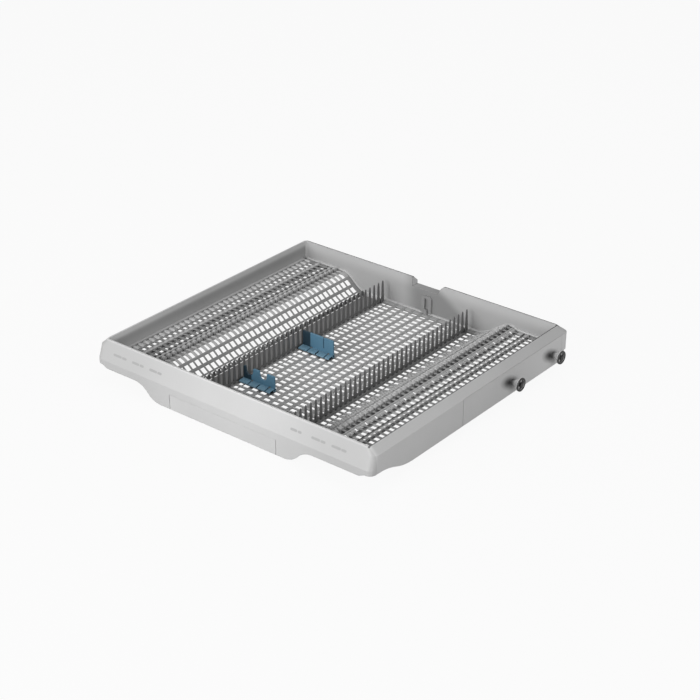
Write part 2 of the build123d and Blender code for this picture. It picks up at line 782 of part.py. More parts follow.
# Bearings of the tine rows: snap-in blocks round the necks
for row_x, name in ((left_row_x, "left_row_bearings"), (right_row_x, "right_row_bearings")):
    with BuildPart() as row_bearings:
        with BuildSketch(Plane.XY.offset(floor_z)):
            for neck_y in neck_places:
                with Locations((row_x, neck_y)):
                    Rectangle(bearing_width, bearing_length)
        extrude(amount=row_axis_height + neck_radius + bearing_cap)
        with BuildSketch(Plane.XZ):
            with Locations((row_x, axis_z)):
                Circle(neck_radius + running_clearance)
            mouth_top = axis_z + neck_radius + bearing_cap + over
            draw_rectangle(row_x - bearing_mouth / 2, row_x + bearing_mouth / 2, axis_z, mouth_top)
        extrude(amount=insert_half, both=True, mode=Mode.SUBTRACT)
    row_bearings.part.label = name
    export_step(row_bearings.part, f"parts/{name}.step")

# Hinged rests: an upright plate with a finger foot, whose journals snap into the ears of a bracket
rest_z = floor_z + rest_axis_height
rest_middle_x = (rest_left_x + rest_right_x) / 2
finger_pitch = finger_width + finger_gap
first_gap_x = rest_right_x - end_finger_width - finger_gap / 2
gap_places = [first_gap_x - index * finger_pitch for index in range(finger_count)]
ear_places = (gap_places[0], gap_places[-1])
ear_top = ear_radius + over
dip_places = (rest_right_x - first_dip_x, rest_right_x - first_dip_x - dip_spacing)
for rest_y, height, end_name in (
    (front_rest_y, front_rest_height, "front"),
    (rear_rest_y, rear_rest_height, "rear"),
):
    top_z = floor_z + height
    with BuildPart() as rest:
        with BuildSketch(Plane.XZ.offset(-rest_y)) as plate:
            draw_rectangle(rest_left_x, rest_right_x, rest_z, top_z)
            if end_name == "front":
                for dip_x in dip_places:
                    dip_z = top_z - dip_depth + dip_width / 2
                    with Locations((dip_x, dip_z)):
                        Circle(dip_width / 2, mode=Mode.SUBTRACT)
                    draw_rectangle(dip_x - dip_width / 2, dip_x + dip_width / 2, dip_z, top_z, Mode.SUBTRACT)
                chamfer(plate.vertices().group_by(Axis.Y)[-1], lobe_chamfer)
                with Locations((dip_places[0], top_z - grip_slot_drop)):
                    Rectangle(grip_slot_width, grip_slot_height, mode=Mode.SUBTRACT)
            else:
                slit_middle_x = rest_right_x - slit_x
                slit_left = slit_middle_x - slit_width / 2
                slit_right = slit_middle_x + slit_width / 2
                draw_rectangle(slit_left, slit_right, top_z - slit_depth, top_z, Mode.SUBTRACT)
        extrude(amount=rest_thickness / 2, both=True)
        with BuildSketch(Plane.YZ.offset(rest_left_x)):
            with Locations((rest_y, rest_z)):
                RegularPolygon(barrel_radius, barrel_sides, major_radius=False, rotation=180 / barrel_sides)
        extrude(amount=rest_width)
        for index in range(finger_count + 1):
            right = rest_right_x if index == 0 else gap_places[index - 1] - finger_gap / 2
            left = gap_places[index] + finger_gap / 2 if index < finger_count else rest_left_x
            with BuildSketch(Plane.YZ.offset(left)):
                tip_y = rest_y - finger_depth
                draw_polygon(
                    [
                        (rest_y, rest_z + finger_top),
                        (tip_y + finger_round, rest_z + finger_tip_top),
                        (tip_y, rest_z + finger_tip_top - finger_round),
                        (tip_y, rest_z - finger_bottom + finger_round / 2),
                        (tip_y + finger_round / 2, rest_z - finger_bottom),
                        (rest_y, rest_z - finger_bottom),
                    ]
                )
            extrude(amount=right - left)
        for ear_x in ear_places:
            with BuildSketch(Plane.YZ.offset(ear_x)):
                with Locations((rest_y, rest_z)):
                    Rectangle(2 * (ear_radius + ear_clearance), 2 * (ear_radius + ear_clearance))
            extrude(amount=ear_thickness / 2 + ear_side_gap, both=True, mode=Mode.SUBTRACT)
        for ear_x in ear_places:
            with BuildSketch(Plane.YZ.offset(ear_x)):
                with Locations((rest_y, rest_z)):
                    Circle(pin_radius)
            extrude(amount=ear_thickness / 2 + ear_side_gap, both=True)
    rest.part.label = f"{end_name}_rest"
    export_step(rest.part, f"parts/{end_name}_rest.step")

    # bracket: a strip on the floor with an ear in the first and the last finger gap
    with BuildPart() as rest_bracket:
        with BuildSketch(Plane.XY.offset(floor_z)):
            with Locations((rest_middle_x, rest_y)):
                Rectangle(rest_width, bracket_depth)
        extrude(amount=bracket_thickness)
        for ear_x in ear_places:
            with BuildSketch(Plane.YZ.offset(ear_x)):
                draw_rectangle(rest_y - ear_radius, rest_y + ear_radius, floor_z, rest_z)
                with Locations((rest_y, rest_z)):
                    RegularPolygon(ear_radius, barrel_sides, major_radius=False, rotation=180 / barrel_sides)
                    Circle(pin_radius + running_clearance, mode=Mode.SUBTRACT)
                mouth = (rest_y - ear_mouth / 2, rest_y + ear_mouth / 2)
                draw_rectangle(*mouth, rest_z, rest_z + ear_top, Mode.SUBTRACT)
            extrude(amount=ear_thickness / 2, both=True)
    rest_bracket.part.label = f"{end_name}_rest_bracket"
    export_step(rest_bracket.part, f"parts/{end_name}_rest_bracket.step")
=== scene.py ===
from math import copysign, cos, pi, radians, sin

import bmesh
import bpy
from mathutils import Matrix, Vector


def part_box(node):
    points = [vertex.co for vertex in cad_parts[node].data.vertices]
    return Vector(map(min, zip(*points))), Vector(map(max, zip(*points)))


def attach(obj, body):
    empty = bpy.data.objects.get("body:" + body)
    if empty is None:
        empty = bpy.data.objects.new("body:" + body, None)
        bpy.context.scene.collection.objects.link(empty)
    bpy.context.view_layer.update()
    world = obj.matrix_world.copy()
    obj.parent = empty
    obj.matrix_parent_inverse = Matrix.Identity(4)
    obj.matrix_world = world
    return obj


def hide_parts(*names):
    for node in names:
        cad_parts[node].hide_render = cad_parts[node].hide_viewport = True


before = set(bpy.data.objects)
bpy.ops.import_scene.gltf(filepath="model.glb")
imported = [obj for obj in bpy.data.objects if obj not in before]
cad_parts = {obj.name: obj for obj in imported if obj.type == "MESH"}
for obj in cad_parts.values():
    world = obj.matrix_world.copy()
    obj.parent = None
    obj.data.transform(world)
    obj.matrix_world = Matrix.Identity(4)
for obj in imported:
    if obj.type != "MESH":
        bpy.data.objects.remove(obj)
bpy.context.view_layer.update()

# Lengths below are in millimetres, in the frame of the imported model, and are turned into metres
# when a mesh is made. +Z is up, -Y is the front with the grip, +X is the right side.
MM = 0.001


def node_box(node):
    """Lowest and highest corner of a CAD node, in millimetres."""
    low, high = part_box(node)
    return [value / MM for value in low], [value / MM for value in high]


# Bead line of the inner walls: the height that the inserts follow across the tray
SHELF_LEVEL = 35.5
CREST_LEVEL = 39.5
LOW_LEVEL = 11.0
LEFT_CREST_X = -158.0
LEFT_FOOT_X = -114.0
RIGHT_FOOT_X = 93.0
RIGHT_CREST_X = 159.3
RIGHT_SHELF_X = 174.0
RIGHT_RAMP_BIAS = 1.2
PLATE_DROP = 1.0

# Rim of the tray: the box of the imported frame, less the flare of the band that slopes out below the rim.
# The band drops further at the front than at the sides, where it ends at a crease.
FLARE = 11.0
BAND_DROP = 29.3
SIDE_CREASE = 53.0
NOTCH_FLOOR = 47.5
TRAY_HEIGHT = round(node_box("tray_frame")[1][2], 3)
RIM_HALF_WIDTH = round(node_box("tray_frame")[1][0] - FLARE, 3)
RIM_HALF_DEPTH = round(node_box("tray_frame")[1][1] - FLARE, 3)

# Centres of the front and rear rollers, along the tray and above the ground
ROLLER_PLACES = (86.2, 189.0)
ROLLER_HEIGHT = 30.8

# Rows of the grid
ROW_PITCH = 10.6
ROW_COUNT = 40
LAST_ROW = (ROW_COUNT - 1) / 2 * ROW_PITCH
INSERT_HALF = node_box("middle_insert")[1][1]


def level(x):
    """Height of the bead line at a place across the tray."""
    if x <= LEFT_CREST_X:
        return SHELF_LEVEL
    if x < LEFT_FOOT_X:
        share = (LEFT_FOOT_X - x) / (LEFT_FOOT_X - LEFT_CREST_X)
        return LOW_LEVEL + (SHELF_LEVEL - LOW_LEVEL) * (1 - cos(pi * share)) / 2
    if x <= RIGHT_FOOT_X:
        return LOW_LEVEL
    if x < RIGHT_CREST_X:
        share = (x - RIGHT_FOOT_X) / (RIGHT_CREST_X - RIGHT_FOOT_X)
        return LOW_LEVEL + (CREST_LEVEL - LOW_LEVEL) * (1 - cos(pi * share**RIGHT_RAMP_BIAS)) / 2
    if x < RIGHT_SHELF_X:
        share = (x - RIGHT_CREST_X) / (RIGHT_SHELF_X - RIGHT_CREST_X)
        return CREST_LEVEL + (SHELF_LEVEL - CREST_LEVEL) * (1 - cos(pi * share)) / 2
    return SHELF_LEVEL


def plate(x):
    """Height of the top of the inserts at a place across the tray."""
    return level(x) - PLATE_DROP


# Materials


class Shader:
    """A Principled material with helpers for its nodes."""

    def __init__(self, name, roughness):
        self.material = bpy.data.materials.new(name)
        self.material.use_nodes = True
        self.nodes = self.material.node_tree.nodes
        self.links = self.material.node_tree.links
        self.surface = self.nodes["Principled BSDF"]
        self.surface.inputs["Roughness"].default_value = roughness
        self.place = self.nodes.new("ShaderNodeTexCoord").outputs["Object"]

    def noise(self, scale, detail=3.0, roughness=0.5):
        """Noise in object space, at a scale in cells per metre."""
        noise = self.nodes.new("ShaderNodeTexNoise")
        noise.inputs["Scale"].default_value = scale
        noise.inputs["Detail"].default_value = detail
        noise.inputs["Roughness"].default_value = roughness
        self.links.new(self.place, noise.inputs["Vector"])
        return noise.outputs["Fac"]

    def ramp(self, value, *stops):
        """Colour ramp through (place, colour) stops."""
        ramp = self.nodes.new("ShaderNodeValToRGB")
        elements = ramp.color_ramp.elements
        while len(elements) < len(stops):
            elements.new(0.5)
        for element, (place, colour) in zip(elements, stops):
            element.position = place
            element.color = (*colour, 1.0)
        self.links.new(value, ramp.inputs["Fac"])
        return ramp.outputs["Color"]

    def between(self, value, start, end, low, high):
        """Maps a value from one range to another, clamped and eased."""
        scale = self.nodes.new("ShaderNodeMapRange")
        scale.interpolation_type = "SMOOTHSTEP"
        scale.inputs["From Min"].default_value = start
        scale.inputs["From Max"].default_value = end
        scale.inputs["To Min"].default_value = low
        scale.inputs["To Max"].default_value = high
        self.links.new(value, scale.inputs["Value"])
        return scale.outputs["Result"]

    def rise(self, value, start, end):
        """Mask that grows from 0 to 1 between two values."""
        return self.between(value, start, end, 0.0, 1.0)

    def fall(self, value, start, end):
        """Mask that shrinks from 1 to 0 between two values."""
        return self.between(value, start, end, 1.0, 0.0)

    def math(self, operation, first, second=None):
        """Result of a Math node on sockets or constants."""
        node = self.nodes.new("ShaderNodeMath")
        node.operation = operation
        for index, value in enumerate((first, second)):
            if value is None:
                continue
            if isinstance(value, (int, float)):
                node.inputs[index].default_value = value
            else:
                self.links.new(value, node.inputs[index])
        return node.outputs["Value"]

    def product(self, *values):
        """Product of two or more values."""
        result = values[0]
        for value in values[1:]:
            result = self.math("MULTIPLY", result, value)
        return result

    def axis(self, name):
        """One coordinate of the place, in millimetres."""
        split = self.nodes.new("ShaderNodeSeparateXYZ")
        self.links.new(self.place, split.inputs["Vector"])
        return self.math("MULTIPLY", split.outputs[name], 1 / MM)

    def recess_shade(self, distance, dark):
        """Grey factor of painted shade, which falls to dark in grooves narrower than a distance in metres.
        """
        hollow_shade = self.nodes.new("ShaderNodeAmbientOcclusion")
        hollow_shade.samples = 6
        hollow_shade.inputs["Distance"].default_value = distance
        return self.ramp(hollow_shade.outputs["AO"], (0.15, grey(dark)), (0.9, grey(1.0)))

    def tint(self, colour, factor):
        """Colour multiplied by a grey factor."""
        mix = self.nodes.new("ShaderNodeMix")
        mix.data_type = "RGBA"
        mix.blend_type = "MULTIPLY"
        mix.inputs["Factor"].default_value = 1.0
        self.links.new(colour, mix.inputs["A"])
        self.links.new(factor, mix.inputs["B"])
        return mix.outputs["Result"]

    def bump(self, height, distance, strength, edge):
        """Bump from a height, over rounded edges where an edge radius is given."""
        bump = self.nodes.new("ShaderNodeBump")
        bump.inputs["Distance"].default_value = distance
        bump.inputs["Strength"].default_value = strength
        self.links.new(height, bump.inputs["Height"])
        if edge:
            bevel = self.nodes.new("ShaderNodeBevel")
            bevel.samples = 4
            bevel.inputs["Radius"].default_value = edge
            self.links.new(bevel.outputs["Normal"], bump.inputs["Normal"])
        self.links.new(bump.outputs["Normal"], self.surface.inputs["Normal"])


def grey(value):
    """Neutral grey, in linear light."""
    return (value, value, value)


def moulded(name, base, spread, roughness, grain, edge=0.0, hollow_shade=0.0, shade=None):
    """Moulded plastic: cloudy colour, fine spark-eroded grain, uneven gloss, painted shade in recesses, and
    painted light and shade from an optional shade function.
    """
    recess_reach = 0.006
    grain_depth = 0.00006
    grain_strength = 0.5
    shader = Shader(name, roughness)
    low = [channel * (1 - spread) for channel in base]
    high = [channel * (1 + spread) for channel in base]
    colour = shader.ramp(shader.noise(9.0, detail=4.0), (0.3, low), (0.7, high))
    speckle = shader.ramp(shader.noise(grain * 1.6, detail=1.0), (0.35, grey(0.965)), (0.6, grey(1.0)))
    colour = shader.tint(colour, speckle)
    # Painted shade in recesses, from ambient occlusion
    if hollow_shade:
        colour = shader.tint(colour, shader.recess_shade(recess_reach, hollow_shade))
    if shade:
        colour = shader.tint(colour, shade(shader))
    shader.links.new(colour, shader.surface.inputs["Base Color"])
    gloss = shader.between(shader.noise(30.0), 0.3, 0.7, roughness - 0.05, roughness + 0.07)
    shader.links.new(gloss, shader.surface.inputs["Roughness"])
    shader.bump(shader.noise(grain, detail=2.0, roughness=0.6), grain_depth, grain_strength, edge)
    return shader


def wall_shade(shader):
    """Painted light and shade on the tray's plastic: painted shade low on the inner walls, painted light on
    the front rim, and darker lines along the rear and right rim edges.
    """
    side = shader.axis("X")
    along = shader.axis("Y")
    height = shader.axis("Z")
    across = shader.math("ABSOLUTE", side)
    depth = shader.math("ABSOLUTE", along)

    # Where a point lies
    inside = shader.product(
        shader.fall(across, RIM_HALF_WIDTH - 1.6, RIM_HALF_WIDTH - 0.6),
        shader.fall(depth, RIM_HALF_DEPTH - 1.6, RIM_HALF_DEPTH - 0.6),
    )
    flank = shader.product(inside, shader.rise(across, RIM_HALF_WIDTH - 3.0, RIM_HALF_WIDTH - 2.6))
    outer = shader.rise(across, RIM_HALF_WIDTH - 0.4, RIM_HALF_WIDTH + 0.4)
    top = shader.rise(height, TRAY_HEIGHT - 2.5, TRAY_HEIGHT - 1.5)
    over_crease = shader.rise(height, SIDE_CREASE - 0.5, SIDE_CREASE + 0.5)
    under_crease = shader.fall(height, SIDE_CREASE - 0.5, SIDE_CREASE + 0.5)
    notch_floor = shader.product(
        shader.rise(height, NOTCH_FLOOR - 0.5, NOTCH_FLOOR - 0.3),
        shader.fall(height, NOTCH_FLOOR + 0.3, NOTCH_FLOOR + 0.5),
    )
    notch_slant = shader.math("ADD", side, shader.math("MULTIPLY", height, 1.5))

    # What is darker or paler there: painted shade low on the inner walls, in the hollow of the flanks, on
    # the flanks towards the rear, on the side bands towards the rear, at the ends of the front band and
    # under the rear notch; painted light on the flanks, most towards the front, on the front rim and low on
    # the outer sides at the rear; and darker lines along the rear rim's outer edge and the right rim's inner
    # edge
    foot = shader.product(inside, shader.fall(height, 40.0, 59.0))
    hollow_shade = shader.product(
        flank,
        shader.fall(height, 51.5, 59.0),
        shader.between(height, 38.0, 50.0, 0.55, 1.0),
    )
    rearward = shader.product(flank, shader.rise(along, -160.0, 220.0))
    forward = shader.product(flank, shader.fall(along, -220.0, -20.0))
    rear_edge = shader.product(top, shader.rise(along, RIM_HALF_DEPTH - 2.0, RIM_HALF_DEPTH - 1.2))
    right_edge = shader.product(
        top,
        shader.rise(side, RIM_HALF_WIDTH - 3.5, RIM_HALF_WIDTH - 3.3),
        shader.fall(side, RIM_HALF_WIDTH - 1.0, RIM_HALF_WIDTH - 0.5),
    )
    front_rim = shader.product(top, shader.fall(along, 2.2 - RIM_HALF_DEPTH, 3.0 - RIM_HALF_DEPTH))
    band = shader.product(outer, over_crease, shader.rise(along, -200.0, 200.0))
    corner = shader.product(outer, under_crease, shader.rise(along, 160.0, 200.0))
    front = shader.product(
        shader.fall(along, -0.2 - RIM_HALF_DEPTH, 0.6 - RIM_HALF_DEPTH),
        shader.rise(across, 50.0, 190.0),
    )
    notch = shader.product(
        shader.math("MAXIMUM", inside, notch_floor),
        shader.rise(along, RIM_HALF_DEPTH - 4.0, RIM_HALF_DEPTH - 3.6),
        shader.rise(side, -44.0, -12.0),
        shader.fall(notch_slant, 92.0, 124.0),
    )

    shade = None
    for amount, factor in (
        (foot, 0.79),
        (flank, 1.1),
        (hollow_shade, 0.59),
        (rearward, 0.93),
        (forward, 1.16),
        (rear_edge, 0.25),
        (right_edge, 0.20),
        (front_rim, 1.16),
        (band, 0.86),
        (corner, 1.2),
        (front, 0.86),
        (notch, 0.63),
    ):
        colour = shader.ramp(amount, (0.0, grey(1.0)), (1.0, grey(factor)))
        shade = colour if shade is None else shader.tint(shade, colour)
    return shade


def stub_shade(shader):
    """Painted shadow on the runner cover round the root of each roller stub, and painted light towards the
    rear of the cover.
    """
    shadow_length = 23.0
    shadow_height = 13.0
    shadow_shift = 7.5
    shadow_drop = 0.8
    shadow_tilt = 0.31
    along_tray = shader.axis("Y")
    height = shader.axis("Z")
    nearest = None
    for y in ROLLER_PLACES:
        along = shader.math("SUBTRACT", along_tray, y)
        up = shader.math("SUBTRACT", height, ROLLER_HEIGHT - shadow_drop)
        up = shader.math("ADD", up, shader.math("MULTIPLY", along, shadow_tilt))
        up = shader.math("DIVIDE", up, shadow_height)
        along = shader.math("DIVIDE", shader.math("ADD", along, shadow_shift), shadow_length)
        square = shader.math("ADD", shader.product(along, along), shader.product(up, up))
        distance = shader.math("SQRT", square)
        nearest = distance if nearest is None else shader.math("MINIMUM", nearest, distance)
    # Painted shadow, darkest at the root of each stub
    painted_shadow = shader.ramp(
        nearest, (0.12, grey(0.07)), (0.40, grey(0.28)), (0.68, grey(0.68)), (1.0, grey(1.0))
    )
    # Painted light: the cover is paler towards the rear
    rear = shader.rise(along_tray, 60.0, 210.0)
    return shader.tint(painted_shadow, shader.ramp(rear, (0.0, grey(1.0)), (1.0, grey(1.2))))


def neck_shade(shader):
    """Painted shade: the narrow neck of each stub is darker than its flare."""
    flare = shader.rise(shader.math("ABSOLUTE", shader.axis("X")), 250.5, 257.2)
    return shader.ramp(flare, (0.0, grey(0.16)), (1.0, grey(1.0)))


def rest_shade(shader):
    """Painted shade: the left end of each blue plate is darker."""
    plate_part = shader.rise(shader.axis("X"), -54.2, -53.6)
    return shader.ramp(plate_part, (0.0, grey(0.20)), (1.0, grey(1.0)))


FRAME_BASE = grey(0.57)
frame_shader = moulded("frame_plastic", FRAME_BASE, 0.03, 0.42, 1400.0, edge=0.0009, shade=wall_shade)
cover_shader = moulded("cover_plastic", FRAME_BASE, 0.03, 0.42, 1400.0, edge=0.0007, shade=stub_shade)
panel_shader = moulded("panel_plastic", FRAME_BASE, 0.03, 0.42, 1400.0, edge=0.0007)
# Painted shade: the side beads are a darker copy of the end beads' grey.
ledge_shader = moulded("side_ledge_plastic", grey(0.47), 0.03, 0.40, 1400.0)
end_ledge_shader = moulded("end_ledge_plastic", grey(0.58), 0.03, 0.40, 1400.0)
# The inserts are one grey plastic; these copies of it differ only in painted light and shade: the slats and
# the ramp are lighter, the bands and strips darker, and the grooves are solid strips painted near black as
# the shade in the real grooves.
rib_shader = moulded("rib_plastic", grey(0.48), 0.06, 0.34, 1400.0, hollow_shade=0.3)
slat_shader = moulded("slat_plastic", grey(0.66), 0.05, 0.32, 1400.0, hollow_shade=0.5)
ramp_shader = moulded("ramp_plastic", grey(0.70), 0.06, 0.34, 1400.0, hollow_shade=0.2)
band_shader = moulded("band_plastic", grey(0.38), 0.06, 0.34, 1400.0, hollow_shade=0.3)
strip_shader = moulded("strip_plastic", grey(0.29), 0.08, 0.36, 1400.0, hollow_shade=0.3)
groove_shade_shader = moulded("groove_painted_shade", grey(0.10), 0.15, 0.45, 1200.0, hollow_shade=0.4)
tine_shader = moulded("tine_plastic", grey(0.135), 0.08, 0.36, 1200.0, hollow_shade=0.5)
rail_shader = moulded("rail_plastic", grey(0.20), 0.06, 0.45, 1200.0)
# The lift guides and hooks are a darker grey plastic, darkened further as painted shade to match the painted
# shade on the wall under the rear notch.
guide_shader = moulded("guide_plastic", grey(0.30), 0.04, 0.42, 1400.0)
axle_shader = moulded("axle_plastic", grey(0.72), 0.04, 0.35, 1600.0, shade=neck_shade)
roller_shader = moulded("roller_plastic", grey(0.055), 0.2, 0.40, 1600.0)
spider_shader = moulded("spider_plastic", grey(0.38), 0.1, 0.40, 1600.0)
bracket_shader = moulded("bracket_plastic", grey(0.20), 0.05, 0.42, 1400.0)
blue_shader = moulded("rest_plastic", (0.100, 0.228, 0.335), 0.08, 0.34, 1600.0, shade=rest_shade)
finger_shader = moulded("finger_plastic", (0.155, 0.29, 0.39), 0.08, 0.34, 1600.0)
mark_shader = moulded("mark_plastic", grey(0.39), 0.04, 0.5, 1400.0)


# Meshes


class Shell:
    """Closed skins of one piece, gathered in millimetres."""

    def __init__(self):
        self.points = []
        self.faces = []

    def loft(self, rings):
        """Closed skin through rings of the same number of points, with flat ends."""
        start = len(self.points)
        count = len(rings[0])
        for ring in rings:
            self.points += ring
        for step in range(len(rings) - 1):
            for index in range(count):
                a = start + step * count + index
                b = start + step * count + (index + 1) % count
                self.faces.append((a, b, b + count, a + count))
        last = start + (len(rings) - 1) * count
        self.faces.append(tuple(start + index for index in reversed(range(count))))
        self.faces.append(tuple(last + index for index in range(count)))

    def turn(self, profile, centre, segments):
        """Closed turned skin along X through (x, radius) stations round a centre (y, z)."""
        rings = []
        for x, radius in profile:
            rings.append([(x, *spot(centre, radius, 2 * pi * i / segments)) for i in range(segments)])
        self.loft(rings)

    def hoop(self, section, centre, segments):
        """Closed ring along X from a section of (x, radius) points turned round a centre (y, z)."""
        start = len(self.points)
        count = len(section)
        for step in range(segments):
            angle = 2 * pi * step / segments
            self.points += [(x, *spot(centre, radius, angle)) for x, radius in section]
        for step in range(segments):
            here = start + step * count
            there = start + (step + 1) % segments * count
            for index in range(count):
                after = (index + 1) % count
                self.faces.append((here + index, here + after, there + after, there + index))

    def piece(self, name, shader, body, replaced=(), bevel=0.0):
        """Makes the object, with its material, and lets it ride on a body."""
        mesh = bpy.data.meshes.new(name)
        mesh.from_pydata([(x * MM, y * MM, z * MM) for x, y, z in self.points], [], self.faces)
        work = bmesh.new()
        work.from_mesh(mesh)
        bmesh.ops.recalc_face_normals(work, faces=work.faces)
        for face in work.faces:
            face.smooth = True
        work.to_mesh(mesh)
        work.free()
        mesh.set_sharp_from_angle(angle=radians(32))
        item = bpy.data.objects.new(name, mesh)
        bpy.context.collection.objects.link(item)
        mesh.materials.append(shader.material)
        if bevel:
            rounding = item.modifiers.new("rounding", "BEVEL")
            rounding.width = bevel * MM
            rounding.segments = 2
            rounding.limit_method = "ANGLE"
            rounding.angle_limit = radians(35)
        shading = item.modifiers.new("shading", "WEIGHTED_NORMAL")
        shading.keep_sharp = True
        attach(item, body)
        if replaced:
            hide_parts(*replaced)


def spot(centre, radius, angle):
    """Point (y, z) on a circle round a centre."""
    return centre[0] + radius * cos(angle), centre[1] + radius * sin(angle)


def soft_section(low, high, top, bottom, radius):
    """Section of a bar between two places, with a rounded top given by a height function."""
    bite = radius * 0.3
    return [
        (low, bottom(low)),
        (low, top(low) - radius),
        (low + bite, top(low + bite) - bite),
        (low + radius, top(low + radius)),
        (high - radius, top(high - radius)),
        (high - bite, top(high - bite) - bite),
        (high, top(high) - radius),
        (high, bottom(high)),
    ]


def flat_ring(half_x, half_y):
    """Twelve points of a rounded oblong, with its two half widths."""
    squareness = 0.6
    ring = []
    for corner in range(12):
        angle = 2 * pi * (corner + 0.5) / 12
        across = copysign(abs(cos(angle)) ** squareness, cos(angle))
        along = copysign(abs(sin(angle)) ** squareness, sin(angle))
        ring.append((half_x * across, half_y * along))
    return ring


# Pieces of the inserts. Heights count from the top of the plate at each place across the tray.

ROWS = [index * ROW_PITCH - LAST_ROW for index in range(ROW_COUNT)]
HOLES = [y + ROW_PITCH / 2 for y in ROWS[:-1]]
PLATE_DEPTH = 2.4
THIN_DEPTH = 1.4


def strip(shell, x0, x1, rise=0.0, depth=THIN_DEPTH, radius=0.6, swell=0.0):
    """Strip along Y between two places, which may swell and widen once a row."""
    places = [-INSERT_HALF, INSERT_HALF]
    steps_per_row = 6
    if swell:
        count = int(2 * INSERT_HALF / ROW_PITCH * steps_per_row)
        places = [-INSERT_HALF + 2 * INSERT_HALF * index / count for index in range(count + 1)]
    rings = []
    for y in places:
        share = abs(sin(pi * y / ROW_PITCH))
        more = rise + swell * share
        waist = swell * (1 - share)
        low, high = x0 + waist, x1 - waist
        section = soft_section(low, high, lambda x: plate(x) + more, lambda x: plate(x) - depth, radius)
        rings.append([(x, y, z) for x, z in section])
    shell.loft(rings)


def cross(shell, x0, x1, y0, y1, rise, depth):
    """Bar across the tray that follows the plate, with a rounded top."""
    longest_step = 3.0
    radius = 0.5
    count = max(2, int((x1 - x0) / longest_step) + 1)
    rings = []
    for index in range(count + 1):
        share = index / count
        x = x0 + (x1 - x0) * share
        height = plate(x)
        section = soft_section(y0, y1, lambda v: height + rise, lambda v: height - depth, radius)
        rings.append([(x, v, z) for v, z in section])
    shell.loft(rings)


def leaf(shell, x0, x1, y, width, rise, depth, lean=0.0):
    """Rounded slat across the tray, pointed like a leaf at both ends."""
    rings = []
    for share, wide in ((0.0, 0.35), (0.14, 0.75), (0.35, 1.0), (0.65, 1.0), (0.86, 0.75), (1.0, 0.35)):
        x = x0 + (x1 - x0) * share
        half = width / 2 * wide
        top = plate(x) + rise * wide
        low = plate(x) - depth
        shift = y + lean * (share - 0.5)
        section = [(-half, low), (-half, top - rise * 0.8), (-half * 0.6, top - rise * 0.2), (0.0, top)]
        section += [(half * 0.6, top - rise * 0.2), (half, top - rise * 0.8), (half, low)]
        rings.append([(x, shift + v, z) for v, z in section])
    shell.loft(rings)


def tooth(shell, x0, x1, y, foot, tip, height):
    """Upright rounded tooth across a rib, wide at its foot."""
    sink = 1.0
    steps = 4
    base = plate((x0 + x1) / 2) - sink
    rings = []
    for index in range(steps + 1):
        share = index / steps
        half = foot / 2 + (tip - foot) / 2 * share**0.8
        z = base + (height + sink) * sin(share * pi / 2)
        inset = (x1 - x0) * 0.12 * share
        low, high = x0 + inset, x1 - inset
        rings.append([(low, y - half, z), (high, y - half, z), (high, y + half, z), (low, y + half, z)])
    shell.loft(rings)


def column(shell, x0, x1, bar, other_bar=None, rise=-0.2, depth=THIN_DEPTH):
    """Column of holes between bars of one width, or of two widths by turns, with solid ends."""
    overlap = 0.4
    bars = (bar, bar if other_bar is None else other_bar)
    edges = [-INSERT_HALF]
    for index, y in enumerate(HOLES):
        half = (ROW_PITCH - bars[index % 2]) / 2
        if half > 0:
            edges += [y - half, y + half]
    edges.append(INSERT_HALF)
    for low, high in zip(edges[::2], edges[1::2]):
        cross(shell, x0 - overlap, x1 + overlap, low, high, rise, depth)


# The strips, grooves and columns of each insert are listed across the tray, from left to right.


def build_left_insert():
    """Left insert: slats at the wall, two ridges, a row of teeth, and columns of holes down to its foot."""
    box_low, box_high = node_box("left_insert")
    start = box_low[0]
    end = box_high[0]
    slats = Shell()
    light = Shell()
    middle = Shell()
    dark = Shell()
    strip(middle, start, start + 1.6)
    strip(slats, start + 1.0, -221.5, rise=-1.1, depth=3.2)
    strip(middle, -221.8, -218.6, rise=-0.4)
    column(middle, -218.6, -210.4, 4.4, 4.8)
    strip(middle, -210.4, -208.0, rise=0.0)
    strip(light, -208.4, -201.4, rise=0.4, depth=3.0, radius=1.6, swell=1.2)
    strip(dark, -201.8, -195.2, rise=-1.7, depth=3.2)
    strip(middle, -195.6, -194.2, rise=0.0)
    column(middle, -194.2, -187.8, 4.6, 6.6)
    strip(dark, -188.0, -181.4, rise=-1.2, depth=2.8)
    strip(light, -182.0, -176.8, rise=0.4, depth=3.0, radius=1.2, swell=1.2)
    strip(dark, -177.2, -165.6, rise=-1.6, depth=3.2)
    strip(middle, -165.8, -156.0, rise=-0.5)
    column(light, -156.0, -145.6, 4.2, 5.6)
    strip(middle, -145.8, -142.4, rise=-0.3)
    column(middle, -142.4, -134.8, 2.9)
    strip(middle, -135.0, -131.6, rise=-0.3)
    column(middle, -131.6, -123.2, 2.9)
    strip(middle, -123.4, -121.4, rise=-0.3)
    column(middle, -121.4, -115.2, 3.0)
    strip(middle, -115.6, end, rise=-0.2, depth=PLATE_DEPTH)
    for y in ROWS:
        leaf(slats, start + 0.4, -219.0, y, 6.8, 1.5, 1.2, lean=-1.5)
        leaf(middle, -202.0, -194.6, y, 3.4, 1.0, 0.8, lean=2.6)
        leaf(middle, -188.2, -181.2, y, 3.4, 1.0, 0.8, lean=2.6)
        leaf(middle, -177.4, -171.4, y, 3.0, 0.8, 0.9, lean=-2.4)
        leaf(light, -166.2, -156.4, y, 4.4, 1.1, 0.6, lean=2.4)
        tooth(light, -172.0, -166.6, y, 8.2, 3.6, 4.4)
        tooth(dark, end - 2.0, end, y, 4.6, 3.4, 5.4)
    light.piece("left_insert_ribs", rib_shader, "left_insert", ["left_insert"])
    slats.piece("left_insert_slats", slat_shader, "left_insert")
    middle.piece("left_insert_strips", strip_shader, "left_insert")
    dark.piece("left_insert_grooves", groove_shade_shader, "left_insert")


